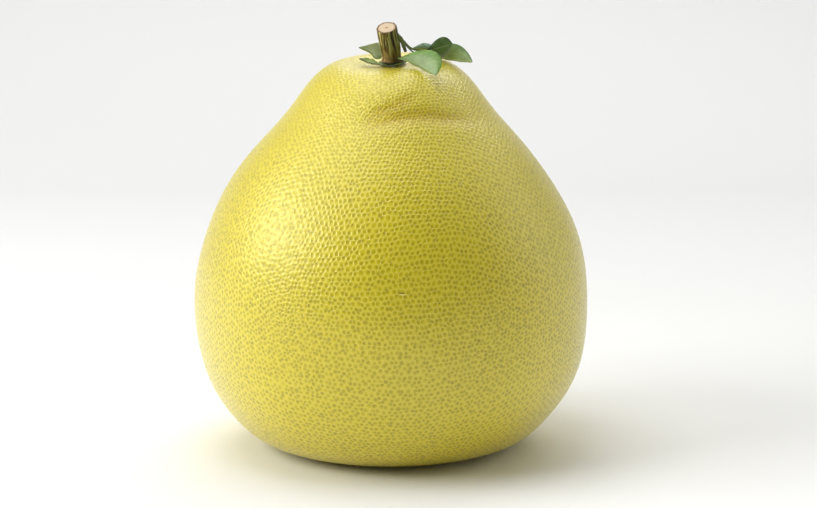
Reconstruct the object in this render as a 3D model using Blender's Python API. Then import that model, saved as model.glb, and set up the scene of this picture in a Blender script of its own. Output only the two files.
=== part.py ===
"""Pomelo as picked: the fruit with its button, cut stem and a few small leaves.

Metres, +Z up. The origin is the middle of the small flat spot that the fruit rests on, and the
crown of the fruit leans a little towards -Y. Lengths below are in millimetres unless they say not.
"""

import math

import bmesh
import bpy
import numpy as np

MM = 0.001

# Fruit: half of its upright outline, (radius, height), from the stem hollow to the flat spot
FRUIT_OUTLINE = [
    (0, 155.2), (7, 155.6), (14, 156.5), (21, 156.0), (28, 152.4), (34.9, 145), (40.9, 137),
    (48.1, 129), (55.3, 121), (63.5, 110), (70.9, 97), (76.2, 83), (79.2, 66), (78.8, 48),
    (76.6, 36), (71.9, 24), (65.0, 13.8), (55, 4.9), (44.5, 1.5), (35, 0.25), (27, 0),
]
FRUIT_DEPTH_SHARE = 0.985  # front to back over side to side
CROWN_LEAN = 0.06  # rise of the crown per length towards the back
CROWN_FROM, CROWN_TO = 125.0, 155.0  # heights between which that lean sets in
FRUIT_ROUND, FRUIT_ROWS = 56, 34  # corners in each ring, points down the outline
OUTLINE_SAMPLES = 600  # for reading the skin's height between the outline's points

# Button (calyx): a lobed disc in the stem hollow
BUTTON_RADIUS = 4.0
BUTTON_THICK = 0.5
BUTTON_GAP = 0.4  # above the skin
BUTTON_LOBES = [  # where each points in degrees, how far it reaches out, how far its tip turns up
    (-56, 3.2, 1.4), (12, 2.4, 0.7), (84, 2.6, 0.4), (145, 1.8, 0.1), (192, 1.6, 0.1),
]
BUTTON_LOBE_HALF = 34.0  # degrees from a lobe's middle to where it ends
BUTTON_RINGS = (0.4, 0.8, 1.0)  # shares of the way out to the edge
BUTTON_ROUND = 48

# Stem: cut above the fruit, leaning to the front
STEM_BASE = (0.6, -1.3, 156.95)
STEM_TOP = (-1.7, -7.3, 170.9)
STEM_CUT_NORMAL = (-0.14, -0.43, 0.89)
STEM_RADIUS_BASE, STEM_RADIUS_TOP = 4.0, 4.1
STEM_WAIST = 0.4  # how much slimmer the foot is
STEM_WAIST_END = 0.3  # share of the length over which that goes
STEM_RINGS = (0.0, 0.08, 0.2, 0.4, 0.6, 0.8, 1.0)  # shares of the length
STEM_ROUND = 20

# Leaves
LEAF_THICK = 0.5
LEAF_FULLNESS = 0.85  # under 1 makes the blade's edge rounder than a sine's
LEAF_MIDRIB_HALF = 0.22  # the midrib's own half width at the base, half as much at the tip
LEAF_ROWS, LEAF_COLUMNS = 13, 4  # points along the midrib, and from it to an edge

# Each leaf: its midrib's four Bezier points, then for the two halves of the blade the direction
# away from the midrib at the base and at the tip, the width, and where along it is widest
LEAVES = {
    "leaf_front_right": {
        "midrib": [(2.9, -6.0, 158.5), (8.0, -11.5, 158.7), (13.6, -20.0, 157.3), (17.7, -24.2, 154.5)],
        "halves": [
            ((0.10, 0.25, 0.96), (0.85, 0.15, 0.50), 7.2, 0.66),
            ((-0.25, 0.90, -0.35), (-0.25, 0.90, -0.35), 3.0, 0.60),
        ],
    },
    "leaf_back_left": {
        "midrib": [(-3.7, 3.6, 157.8), (-6.2, 3.0, 158.9), (-9.2, 1.2, 159.7), (-12.8, -1.6, 162.2)],
        "halves": [
            ((0.10, 0.30, 0.95), (0.10, 0.30, 0.95), 4.8, 0.22),
            ((0.00, -0.20, -0.95), (0.10, -0.55, 0.80), 1.8, 0.42),
        ],
    },
    "leaf_low_left": {
        "midrib": [(-4.8, -5.4, 156.0), (-7.2, -5.8, 156.6), (-9.8, -5.8, 157.2), (-12.6, -5.4, 158.3)],
        "halves": [
            ((0.10, 0.92, 0.30), (0.10, 0.92, 0.30), 3.0, 0.45),
            ((0.10, -0.98, -0.05), (0.10, -0.98, -0.05), 1.8, 0.50),
        ],
    },
    "leaf_back_right": {
        "midrib": [(8.8, 5.2, 160.9), (11.0, 5.6, 161.0), (14.0, 6.0, 161.0), (17.5, 6.0, 160.6)],
        "halves": [
            ((0.05, 0.45, 0.88), (0.05, 0.45, 0.88), 2.0, 0.60),
            ((0.00, 0.90, -0.40), (0.00, 0.90, -0.40), 2.0, 0.50),
        ],
    },
    "leaf_upper_right": {
        "midrib": [(13.9, 0.6, 160.4), (17.0, 0.2, 161.4), (20.5, 0.4, 162.4), (24.4, 1.0, 163.2)],
        "halves": [
            ((-0.15, 0.25, 0.95), (0.10, 0.25, 0.95), 3.7, 0.62),
            ((0.20, 0.10, -0.97), (0.20, 0.10, -0.97), 4.6, 0.50),
        ],
    },
    "leaf_far_right": {
        "midrib": [(14.6, 4.0, 159.2), (20.0, 3.6, 160.4), (26.5, 2.4, 159.9), (32.4, 0.4, 156.1)],
        "halves": [
            ((0.20, 0.30, 0.92), (0.45, 0.20, 0.85), 3.8, 0.55),
            ((-0.10, 0.35, -0.92), (-0.10, 0.35, -0.92), 3.2, 0.52),
        ],
    },
}

# Side twig and leaf stalks: points along the middle, radius at the start and at the end
TWIG_RINGS, TWIG_ROUND = 9, 8
TWIGS = {
    "side_twig": ([(4.5, -4.8, 165.4), (5.0, -5.4, 163.6), (5.8, -6.4, 161.2)], 0.9, 0.6),
    "stalk_front": ([(6.6, -4.2, 163.9), (7.8, -4.6, 161.8), (9.4, -5.4, 159.9)], 0.45, 0.35),
    "stalk_back": (
        [(5.4, -1.6, 165.0), (6.9, -0.8, 162.4), (9.6, 0.2, 161.0), (13.2, 0.4, 160.5)], 0.6, 0.4,
    ),
}

SHARP_EDGE = 50.0  # degrees between two faces, above which the edge between them stays sharp
COLOURS = {  # linear red, green, blue and roughness
    "fruit": (0.55, 0.50, 0.07, 0.45),
    "button": (0.05, 0.07, 0.02, 0.75),
    "stem": (0.11, 0.10, 0.03, 0.80),
    "leaf": (0.10, 0.20, 0.05, 0.50),
    "twig": (0.08, 0.15, 0.03, 0.60),
}


def clear_scene():
    for obj in list(bpy.data.objects):
        bpy.data.objects.remove(obj, do_unlink=True)


def material(name):
    red, green, blue, roughness = COLOURS[name]
    made = bpy.data.materials.get(name) or bpy.data.materials.new(name)
    made.use_nodes = True
    shader = made.node_tree.nodes["Principled BSDF"]
    shader.inputs["Base Color"].default_value = (red, green, blue, 1.0)
    shader.inputs["Roughness"].default_value = roughness
    shader.inputs["Metallic"].default_value = 0.0
    return made


def unit(vectors):
    vectors = np.asarray(vectors, float)
    return vectors / np.linalg.norm(vectors, axis=-1, keepdims=True)


def smooth_step(values, low, high):
    share = np.clip((np.asarray(values, float) - low) / (high - low), 0.0, 1.0)
    return share * share * (3.0 - 2.0 * share)


def smooth_through(points, count, start=None, end=None):
    """A cubic spline through the points, with even steps of length; start and end fix its directions."""
    points = np.asarray(points, float)
    step = np.linalg.norm(np.diff(points, axis=0), axis=1)
    at = np.concatenate([[0.0], np.cumsum(step)])
    size = len(points)
    matrix, right = np.zeros((size, size)), np.zeros(points.shape)
    slopes = np.diff(points, axis=0) / step[:, None]
    for i in range(1, size - 1):
        matrix[i, i - 1 : i + 2] = [step[i], 2 * (step[i - 1] + step[i]), step[i - 1]]
        right[i] = 3 * (step[i] * slopes[i - 1] + step[i - 1] * slopes[i])
    matrix[0, :2], right[0] = ([1, 0], start) if start is not None else ([2, 1], 3 * slopes[0])
    matrix[-1, -2:], right[-1] = ([0, 1], end) if end is not None else ([1, 2], 3 * slopes[-1])
    tangents = np.linalg.solve(matrix, right)
    wanted = np.linspace(0.0, at[-1], count)
    span = np.clip(np.searchsorted(at, wanted, side="right") - 1, 0, size - 2)
    length = step[span][:, None]
    t = ((wanted - at[span]) / step[span])[:, None]
    return (
        (2 * t**3 - 3 * t**2 + 1) * points[span]
        + (t**3 - 2 * t**2 + t) * length * tangents[span]
        + (3 * t**2 - 2 * t**3) * points[span + 1]
        + (t**3 - t**2) * length * tangents[span + 1]
    )


def finish(mesh, name, colour):
    """Wraps a bmesh in millimetres up as the named object, in metres, smooth and facing out."""
    bmesh.ops.recalc_face_normals(mesh, faces=mesh.faces)
    bmesh.ops.scale(mesh, vec=(MM, MM, MM), verts=mesh.verts)
    data = bpy.data.meshes.new(name)
    mesh.to_mesh(data)
    mesh.free()
    data.shade_smooth()
    data.set_sharp_from_angle(angle=math.radians(SHARP_EDGE))
    data.materials.append(material(colour))
    obj = bpy.data.objects.new(name, data)
    bpy.context.scene.collection.objects.link(obj)
    return obj


def bridge_rings(mesh, rings):
    for low, high in zip(rings, rings[1:]):
        for i, vert in enumerate(low):
            j = (i + 1) % len(low)
            mesh.faces.new((vert, low[j], high[j], high[i]))


def tube(rings):
    """A closed solid through rings of points, its two ends filled flat."""
    mesh = bmesh.new()
    made = [[mesh.verts.new(point) for point in ring] for ring in rings]
    bridge_rings(mesh, made)
    mesh.faces.new(made[0])
    mesh.faces.new(made[-1])
    return mesh


def crown_lean(y, z):
    return CROWN_LEAN * y * smooth_step(z, CROWN_FROM, CROWN_TO)


def fruit_outline(count):
    outline = smooth_through(FRUIT_OUTLINE, count, start=(1, 0), end=(-1, 0))
    return np.column_stack([outline[:, 0], np.maximum(outline[:, 1], 0.0)])


def skin_height(x, y):
    """Height of the crown's skin over a point near the stem."""
    outline = fruit_outline(OUTLINE_SAMPLES)
    crown = outline[outline[:, 1] > CROWN_FROM]
    z = np.interp(np.hypot(x, y / FRUIT_DEPTH_SHARE), crown[:, 0], crown[:, 1])
    return z + crown_lean(y, z)


def make_fruit():
    """The outline turned round the core, a little flatter front to back, with the crown leaning."""
    outline = fruit_outline(FRUIT_ROWS)[1:]
    turn = np.linspace(0.0, 2 * math.pi, FRUIT_ROUND, endpoint=False)
    mesh = bmesh.new()
    rings = []
    for radius, height in outline:
        x, y = radius * np.cos(turn), radius * np.sin(turn) * FRUIT_DEPTH_SHARE
        z = height + crown_lean(y, np.full(FRUIT_ROUND, height))
        rings.append([mesh.verts.new(point) for point in zip(x, y, z)])
    bridge_rings(mesh, rings)
    middle = mesh.verts.new((0.0, 0.0, FRUIT_OUTLINE[0][1]))
    for i, vert in enumerate(rings[0]):
        mesh.faces.new((middle, vert, rings[0][(i + 1) % FRUIT_ROUND]))
    mesh.faces.new(rings[-1])
    return finish(mesh, "fruit", "fruit")


def make_button():
    """A disc that follows the hollow a gap above the skin, its edge drawn out into turned-up lobes."""
    around = np.linspace(0.0, 2 * math.pi, BUTTON_ROUND, endpoint=False)
    edge = np.full(around.shape, BUTTON_RADIUS)
    tip_lift = np.zeros(around.shape)
    for degrees, reach, lift in BUTTON_LOBES:
        away = np.abs((np.degrees(around) - degrees + 180) % 360 - 180) / BUTTON_LOBE_HALF
        lobe = np.cos(np.minimum(away, 1.0) * math.pi / 2) ** 2
        edge += reach * lobe
        tip_lift += lift * lobe
    mesh = bmesh.new()
    layers = []
    for lift in (BUTTON_GAP, BUTTON_GAP + BUTTON_THICK):
        rings = []
        for share in BUTTON_RINGS:
            x, y = share * edge * np.cos(around), share * edge * np.sin(around)
            past = (share * edge - BUTTON_RADIUS) / (edge - BUTTON_RADIUS + 0.1)
            z = skin_height(x, y) + lift + tip_lift * np.clip(past, 0.0, 1.0)
            rings.append([mesh.verts.new(point) for point in zip(x, y, z)])
        layers.append(rings)
    under, over = layers
    bridge_rings(mesh, under)
    bridge_rings(mesh, over)
    bridge_rings(mesh, [under[-1], over[-1]])
    mesh.faces.new(under[0])
    mesh.faces.new(over[0])
    return finish(mesh, "button", "button")


def make_stem():
    """A round stem whose rings turn from level at the foot to the slant of the cut at the top."""
    around = np.linspace(0.0, 2 * math.pi, STEM_ROUND, endpoint=False)
    base, top = np.array(STEM_BASE), np.array(STEM_TOP)
    rings = []
    for share in STEM_RINGS:
        radius = STEM_RADIUS_BASE + (STEM_RADIUS_TOP - STEM_RADIUS_BASE) * share
        radius -= STEM_WAIST * (1.0 - smooth_step(share, 0.0, STEM_WAIST_END))
        normal = unit((1 - share) * np.array([0, 0, 1.0]) + share * unit(STEM_CUT_NORMAL))
        side = unit(np.cross((0, 1, 0), normal))
        other = np.cross(normal, side)
        ring = base + (top - base) * share + radius * (
            np.cos(around)[:, None] * side + np.sin(around)[:, None] * other
        )
        rings.append(ring)
    return finish(tube(rings), "stem", "stem")


def bezier(points, count):
    a, b, c, d = np.asarray(points, float)
    t = np.linspace(0.0, 1.0, count)[:, None]
    return (1 - t) ** 3 * a + 3 * t * (1 - t) ** 2 * b + 3 * t**2 * (1 - t) * c + t**3 * d


def half_width(along, width, widest):
    """Blade width away from the midrib: pointed at both ends, widest at the given share."""
    power = math.log(0.5) / math.log(widest)
    blade = width * np.sin(math.pi * along**power) ** LEAF_FULLNESS
    return blade + LEAF_MIDRIB_HALF * (1 - 0.5 * along)


def make_leaf(name, midrib, halves):
    """Two half blades that fan out from a curved midrib, given their thickness by Solidify."""
    along = np.linspace(0.0, 1.0, LEAF_ROWS)
    spine = bezier(midrib, LEAF_ROWS)
    sides = []
    for at_base, at_tip, width, widest in halves:
        away = unit(np.outer(1 - along, at_base) + np.outer(along, at_tip))
        sides.append(away * half_width(along, width, widest)[:, None])
    mesh = bmesh.new()
    across = np.linspace(0.0, 1.0, LEAF_COLUMNS)
    grid = [
        [mesh.verts.new(spine[i] + sides[1][i] * share) for share in across[:0:-1]]
        + [mesh.verts.new(spine[i] + sides[0][i] * share) for share in across]
        for i in range(LEAF_ROWS)
    ]
    for low, high in zip(grid, grid[1:]):
        for i in range(len(low) - 1):
            mesh.faces.new((low[i], low[i + 1], high[i + 1], high[i]))
    leaf = finish(mesh, name, "leaf")
    solid = leaf.modifiers.new("thickness", "SOLIDIFY")
    solid.thickness = LEAF_THICK * MM
    solid.offset = 0.0
    return leaf


def make_twig(name, points, radius_start, radius_end):
    """A thin round tube along a smooth curve, tapering from start to end."""
    path = smooth_through(points, TWIG_RINGS)
    along = unit(np.gradient(path, axis=0))
    side = unit(np.cross(along, (0, 1, 0)))
    other = np.cross(along, side)
    around = np.linspace(0.0, 2 * math.pi, TWIG_ROUND, endpoint=False)
    radii = np.linspace(radius_start, radius_end, TWIG_RINGS)
    rings = [
        path[i] + radii[i] * (np.cos(around)[:, None] * side[i] + np.sin(around)[:, None] * other[i])
        for i in range(TWIG_RINGS)
    ]
    return finish(tube(rings), name, "twig")


clear_scene()
make_fruit()
make_button()
make_stem()
for leaf_name, shape in LEAVES.items():
    make_leaf(leaf_name, shape["midrib"], shape["halves"])
for twig_name, (twig_points, twig_start, twig_end) in TWIGS.items():
    make_twig(twig_name, twig_points, twig_start, twig_end)
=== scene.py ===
import math

import bpy
import numpy as np
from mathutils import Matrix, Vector


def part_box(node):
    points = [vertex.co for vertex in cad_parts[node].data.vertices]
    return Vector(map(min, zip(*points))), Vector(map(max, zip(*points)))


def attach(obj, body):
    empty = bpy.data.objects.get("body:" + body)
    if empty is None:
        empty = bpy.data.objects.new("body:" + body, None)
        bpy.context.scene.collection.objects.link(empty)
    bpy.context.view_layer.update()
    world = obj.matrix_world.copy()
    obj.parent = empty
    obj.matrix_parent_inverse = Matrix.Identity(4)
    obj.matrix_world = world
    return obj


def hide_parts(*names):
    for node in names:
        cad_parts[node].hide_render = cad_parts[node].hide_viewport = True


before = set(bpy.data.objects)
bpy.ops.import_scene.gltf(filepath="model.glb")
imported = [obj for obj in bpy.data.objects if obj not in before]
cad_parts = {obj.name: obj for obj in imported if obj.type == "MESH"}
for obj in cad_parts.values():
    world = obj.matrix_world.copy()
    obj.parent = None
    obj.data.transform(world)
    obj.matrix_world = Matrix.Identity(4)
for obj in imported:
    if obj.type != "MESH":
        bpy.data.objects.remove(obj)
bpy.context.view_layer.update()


def hexToLinear(code):
    # sRGB hex to linear light: divide by 12.92 when dark, else ((c + 0.055) / 1.055) to the power 2.4
    parts = [int(code[i:i + 2], 16) / 255 for i in (0, 2, 4)]
    return tuple(c / 12.92 if c <= 0.04045 else ((c + 0.055) / 1.055) ** 2.4 for c in parts) + (1.0,)


def addNode(tree, kind, settings=None, links=None):
    # settings fill the node's own fields or its sockets, links join other nodes' sockets to it
    node = tree.nodes.new(kind)
    for key, value in (settings or {}).items():
        if isinstance(key, str) and hasattr(node, key):
            setattr(node, key, value)
        else:
            node.inputs[key].default_value = value
    for key, socket in (links or {}).items():
        tree.links.new(socket, node.inputs[key])
    return node


def newMaterial(name):
    made = bpy.data.materials.new(name)
    made.use_nodes = True
    made.node_tree.nodes.clear()
    return made, made.node_tree


def unit(vectors):
    vectors = np.asarray(vectors, float)
    return vectors / np.linalg.norm(vectors, axis=-1, keepdims=True)


def smoothStep(values, low, high):
    share = np.clip((values - low) / (high - low), 0, 1)
    return share * share * (3 - 2 * share)


def bell(values, middle, reach):
    # one at the middle, falling away evenly on both sides
    return np.exp(-((values - middle) / reach) ** 2)


def smoothThrough(points, count, startWay=None, endWay=None):
    # cubic spline: bending is continuous at every point, steps are even in length
    points = np.asarray(points, float)
    step = np.linalg.norm(np.diff(points, axis=0), axis=1)
    at = np.concatenate([[0], np.cumsum(step)])
    slopes = np.diff(points, axis=0) / step[:, None]
    size = len(points)
    matrix = np.zeros((size, size))
    right = np.zeros(points.shape)
    inner = np.arange(1, size - 1)
    matrix[inner, inner - 1] = step[1:]
    matrix[inner, inner] = 2 * (step[:-1] + step[1:])
    matrix[inner, inner + 1] = step[:-1]
    right[1:-1] = 3 * (step[1:, None] * slopes[:-1] + step[:-1, None] * slopes[1:])
    matrix[0, :2], right[0] = ([1, 0], startWay) if startWay is not None else ([2, 1], 3 * slopes[0])
    matrix[-1, -2:], right[-1] = ([0, 1], endWay) if endWay is not None else ([1, 2], 3 * slopes[-1])
    ways = np.linalg.solve(matrix, right)
    wanted = np.linspace(0, at[-1], count)
    span = np.clip(np.searchsorted(at, wanted, side="right") - 1, 0, size - 2)
    length = step[span][:, None]
    t = ((wanted - at[span]) / step[span])[:, None]
    start = (2 * t**3 - 3 * t**2 + 1) * points[span] + (t**3 - 2 * t**2 + t) * length * ways[span]
    end = (3 * t**2 - 2 * t**3) * points[span + 1] + (t**3 - t**2) * length * ways[span + 1]
    return start + end


def bezier(points, count):
    # cubic Bezier: the four points weighed by the terms of (1 - t + t) cubed
    a, b, c, d = np.asarray(points, float)
    t = np.linspace(0, 1, count)[:, None]
    return (1 - t) ** 3 * a + 3 * t * (1 - t) ** 2 * b + 3 * t**2 * (1 - t) * c + t**3 * d


def ripple(points, size, seed, waves=28):
    # soft noise near -1 to 1: a sum of sine waves in random directions, each about size long
    rng = np.random.default_rng(seed)
    ways = unit(rng.normal(size=(waves, 3))) * (2 * math.pi / size) * rng.uniform(0.6, 1.5, (waves, 1))
    phases = rng.uniform(0, 2 * math.pi, waves)
    return np.sin(points @ ways.T + phases).sum(1) * math.sqrt(2 / waves) / 1.6


def gridFaces(rows, cols, closed=False):
    # quads of a rows by cols grid, the last column joined to the first when closed
    row, col = np.meshgrid(np.arange(rows - 1), np.arange(cols if closed else cols - 1), indexing="ij")
    nextCol = (col + 1) % cols
    quads = np.stack([
        row * cols + col, row * cols + nextCol, (row + 1) * cols + nextCol, (row + 1) * cols + col,
    ], -1)
    return quads.reshape(-1, 4)


def fanFaces(ring, middle):
    # triangles from each step of a ring to one middle point
    ring = np.asarray(ring)
    return np.column_stack([ring, np.roll(ring, -1), np.full(len(ring), middle)])


def meshPiece(name, points, faces, materials, faceMaterial=None):
    mesh = bpy.data.meshes.new(name)
    mesh.from_pydata((np.asarray(points) * mm + (0, 0, ground)).tolist(), [], faces)
    for material in materials:
        mesh.materials.append(material)
    if faceMaterial is not None:
        mesh.polygons.foreach_set("material_index", np.asarray(faceMaterial, np.int32))
    mesh.shade_smooth()
    mesh.update()
    piece = bpy.data.objects.new(name, mesh)
    bpy.context.scene.collection.objects.link(piece)
    return piece


def storeAttribute(piece, name, kind, domain, values):
    made = piece.data.attributes.new(name, kind, domain)
    field = {"FLOAT": "value", "FLOAT_VECTOR": "vector", "FLOAT_COLOR": "color"}[kind]
    made.data.foreach_set(field, np.asarray(values, np.float32).ravel())


def settle(piece, slot, *nodes):
    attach(piece, "root")
    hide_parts(*nodes)


# ---- fruit
fruitSet = {  # millimetres from the middle of the flat spot, turns in degrees from the front to the right
    "outline": [
        (0, 155.2), (7, 155.6), (14, 156.5), (21, 156.0), (28, 152.4), (34.9, 145), (40.9, 137),
        (48.1, 129), (55.3, 121), (63.5, 110), (70.9, 97), (76.2, 83), (79.2, 66), (78.8, 48),
        (76.6, 36), (71.9, 24), (65.0, 13.8), (55, 4.9), (44.5, 1.5), (35, 0.25), (27, 0),
    ],
    "depthShare": 0.985,
    "crownLean": 0.06,
    "crownHeights": (125, 155),
    "profileSteps": 3000,
    "crownSteps": 600,
    "poreSplits": 49,  # pores = 10 * splits squared + 2, about 1.9 mm apart
    "crownCrowding": 0.35,
    "crowdingHeights": (100, 145),
    "crownPaling": 0.7,
    "crownPoreShrink": 0.2,
    "palingHeights": (110, 150),
    "poreJitter": 0.24,  # shares of the pores' distance apart
    "poreLeash": 1.5,  # furthest a pore strays, in jitters
    "poreDrift": 0.9,
    "poreRadius": 0.6,
    "poreSpread": 0.18,
    "poreDepth": 0.06,
    "lumps": {"height": 0.45, "size": 55, "fromFloor": (1, 16)},
    # each fold: height up the fruit, half width, depth or rise, and the turns where it fades in and out
    "crease": {
        "height": 139.4, "wave": 1.0, "waves": 5, "droop": 0.03, "droopFrom": 12,
        "reach": 2.6, "depth": 0.7, "fadeIn": (-26, 8), "fadeOut": (26, 72),
    },
    "upperCrease": {
        "height": 143.4, "slant": 0.2, "reach": 1.9, "depth": 0.35, "fadeIn": (-20, -4), "fadeOut": (8, 24),
    },
    "shelf": {"height": 133.5, "reach": 4.5, "rise": 0.35, "fadeIn": (-40, -5), "fadeOut": (35, 75)},
    "nickAt": (4.7, -76.0, 78.8),
    "nickStretch": (0.75, 0.25, 3.6),  # one over the reach of the nick's lips along each axis
    # the scratch's lips: a brown line of painted shade above a pale line of painted highlight
    "nickShadeAndHighlight": ((0.0, "6E5A10"), (-0.5, "F6EE9C")),  # height from the nick, colour
    "seed": 7,
}


def fruitProfile(count):
    outline = smoothThrough(fruitSet["outline"], count, (1, 0), (-1, 0))
    return np.column_stack([outline[:, 0], np.maximum(outline[:, 1], 0)])


fruitLow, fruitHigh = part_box("fruit")
mm = (fruitHigh.x - fruitLow.x) / 2 / fruitProfile(fruitSet["profileSteps"])[:, 0].max()
ground = fruitLow.z


def crownLean(y, z):
    return fruitSet["crownLean"] * y * smoothStep(z, *fruitSet["crownHeights"])


def onFruit(ways):
    # unit directions to skin points: the share of the ball's area above a direction is the share
    # of the skin's area above its point, so pores keep one spacing, a little closer on the crown
    profile = np.vstack([fruitProfile(fruitSet["profileSteps"]), [[0, 0]]])
    step = np.linalg.norm(np.diff(profile, axis=0), axis=1)
    middle = (profile[1:] + profile[:-1]) / 2
    crowding = 1 + fruitSet["crownCrowding"] * smoothStep(middle[:, 1], *fruitSet["crowdingHeights"])
    area = np.concatenate([[0], np.cumsum(step * middle[:, 0] * crowding)])
    slope = unit(np.gradient(profile, axis=0))
    share = (1 - ways[:, 2]) / 2 * area[-1]
    radius, height = np.interp(share, area, profile[:, 0]), np.interp(share, area, profile[:, 1])
    outX, outZ = -np.interp(share, area, slope[:, 1]), np.interp(share, area, slope[:, 0])
    turn = np.arctan2(ways[:, 1], ways[:, 0])
    x, y = radius * np.cos(turn), radius * np.sin(turn) * fruitSet["depthShare"]
    points = np.column_stack([x, y, height + crownLean(y, height)])
    normals = unit(np.column_stack([outX * np.cos(turn), outX * np.sin(turn), outZ]))
    return points, normals


def frontTurn(points):
    return np.degrees(np.arctan2(points[:, 0], -points[:, 1]))


def foldShare(turn, height, middle, fold):
    # one along the middle of a fold, none away from it and where it has faded out
    across = bell(height, middle, fold["reach"])
    return across * smoothStep(turn, *fold["fadeIn"]) * (1 - smoothStep(turn, *fold["fadeOut"]))


def neckFold(points):
    # the crease under the crown and a slanting one above it, as shares of full depth
    turn, height = frontTurn(points), points[:, 2]
    crease, above = fruitSet["crease"], fruitSet["upperCrease"]
    wave = crease["wave"] * np.sin(np.radians(turn * crease["waves"]))
    low = crease["height"] + wave - crease["droop"] * np.abs(turn - crease["droopFrom"])
    lower = foldShare(turn, height, low, crease)
    upper = foldShare(turn, height, above["height"] + above["slant"] * turn, above)
    return lower, upper


def fruitRelief(points):
    # height above the turned shape: slow lumps, none at the flat spot, and a shelf, minus the creases
    lower, upper = neckFold(points)
    turn, height = frontTurn(points), points[:, 2]
    lumpSet, shelfSet = fruitSet["lumps"], fruitSet["shelf"]
    shelf = foldShare(turn, height, shelfSet["height"], shelfSet)
    lumps = lumpSet["height"] * ripple(points, lumpSet["size"], 3) * smoothStep(height, *lumpSet["fromFloor"])
    raised = lumps + shelfSet["rise"] * shelf
    return raised - fruitSet["crease"]["depth"] * lower - fruitSet["upperCrease"]["depth"] * upper


def ballCells(splits):
    # corners of a ball of even triangles: each face of an icosahedron cut into splits squared
    golden = (1 + math.sqrt(5)) / 2
    corners = unit([
        (-1, golden, 0), (1, golden, 0), (-1, -golden, 0), (1, -golden, 0), (0, -1, golden), (0, 1, golden),
        (0, -1, -golden), (0, 1, -golden), (golden, 0, -1), (golden, 0, 1), (-golden, 0, -1), (-golden, 0, 1),
    ])
    faces = np.array([
        (0, 11, 5), (0, 5, 1), (0, 1, 7), (0, 7, 10), (0, 10, 11), (1, 5, 9), (5, 11, 4),
        (11, 10, 2), (10, 7, 6), (7, 1, 8), (3, 9, 4), (3, 4, 2), (3, 2, 6), (3, 6, 8),
        (3, 8, 9), (4, 9, 5), (2, 4, 11), (6, 2, 10), (8, 6, 7), (9, 8, 1),
    ])
    i, j = np.meshgrid(np.arange(splits + 1), np.arange(splits + 1), indexing="ij")
    inside = i + j <= splits
    number = np.cumsum(inside.ravel()).reshape(inside.shape) - 1
    weights = np.stack([splits - i - j, i, j], -1)[inside] / splits
    points = unit(np.einsum("pw,fwc->fpc", weights, corners[faces])).reshape(-1, 3)
    iUp, jUp = i[i + j < splits], j[i + j < splits]
    iDown, jDown = i[i + j < splits - 1], j[i + j < splits - 1]
    tris = np.vstack([
        np.column_stack([number[iUp, jUp], number[iUp + 1, jUp], number[iUp, jUp + 1]]),
        np.column_stack([number[iDown + 1, jDown], number[iDown + 1, jDown + 1], number[iDown, jDown + 1]]),
    ])
    allTris = (tris[None] + (np.arange(len(faces)) * len(weights))[:, None, None]).reshape(-1, 3)
    _, first, same = np.unique(np.round(points, 6), axis=0, return_index=True, return_inverse=True)
    return points[first], same.reshape(-1)[allTris]


def makeFruit(material):
    # each pore has a cell of six or so triangles: pore, and two points where cells meet
    rng = np.random.default_rng(fruitSet["seed"])
    centres, tris = ballCells(fruitSet["poreSplits"])
    apart = math.sqrt(4 * math.pi / len(centres) * 2 / math.sqrt(3))
    # pores stray in every direction, but none so far that its cell would fold over
    jitter = rng.normal(size=centres.shape)
    reined = np.minimum(1, fruitSet["poreLeash"] / np.linalg.norm(jitter, axis=1, keepdims=True))
    jitter *= reined * apart * fruitSet["poreJitter"]
    drift = np.column_stack([ripple(centres, 0.9, 20 + k) for k in range(3)]) * apart * fruitSet["poreDrift"]
    centres = unit(centres + jitter + drift)
    meets = unit(centres[tris].mean(1))
    pore, nextPore = tris.ravel(), np.roll(tris, -1, axis=1).ravel()
    face = np.repeat(np.arange(len(tris)), 3)
    key, back = pore * len(centres) + nextPore, nextPore * len(centres) + pore
    order = np.argsort(key)
    beside = face[order[np.searchsorted(key[order], back)]]
    cells = np.column_stack([pore, beside + len(centres), face + len(centres)])
    points, normals = onFruit(np.vstack([centres, meets]))
    points = points + normals * fruitRelief(points)[:, None]
    offset = points[cells] - points[cells[:, :1]]
    onCrown = smoothStep(points[:len(centres), 2], *fruitSet["palingHeights"])
    size = fruitSet["poreRadius"] * rng.lognormal(0, fruitSet["poreSpread"], len(centres))
    size = size * (1 - fruitSet["crownPoreShrink"] * onCrown)
    chance = rng.uniform(0, 1, len(centres)) - fruitSet["crownPaling"] * onCrown
    depth = np.zeros(len(points))
    depth[:len(centres)] = fruitSet["poreDepth"] * (0.7 + 0.5 * chance)
    lower, upper = neckFold(points)
    points = points - normals * depth[:, None]
    points[:, 2] = np.maximum(points[:, 2], 0)
    piece = meshPiece("pomeloSkin", points, cells.tolist(), [material])
    storeAttribute(piece, "poreOffset", "FLOAT_VECTOR", "CORNER", offset / size[cells[:, 0]][:, None, None])
    storeAttribute(piece, "poreKind", "FLOAT", "CORNER", np.repeat(chance[cells[:, 0]], 3))
    storeAttribute(piece, "poreCell", "FLOAT", "CORNER", np.tile([1.0, 0.0, 0.0], len(cells)))
    # how deep each point lies in the creases, used to paint shade into them
    storeAttribute(piece, "creaseShadeShare", "FLOAT", "POINT", np.clip(lower + upper, 0, 1))
    return piece


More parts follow.
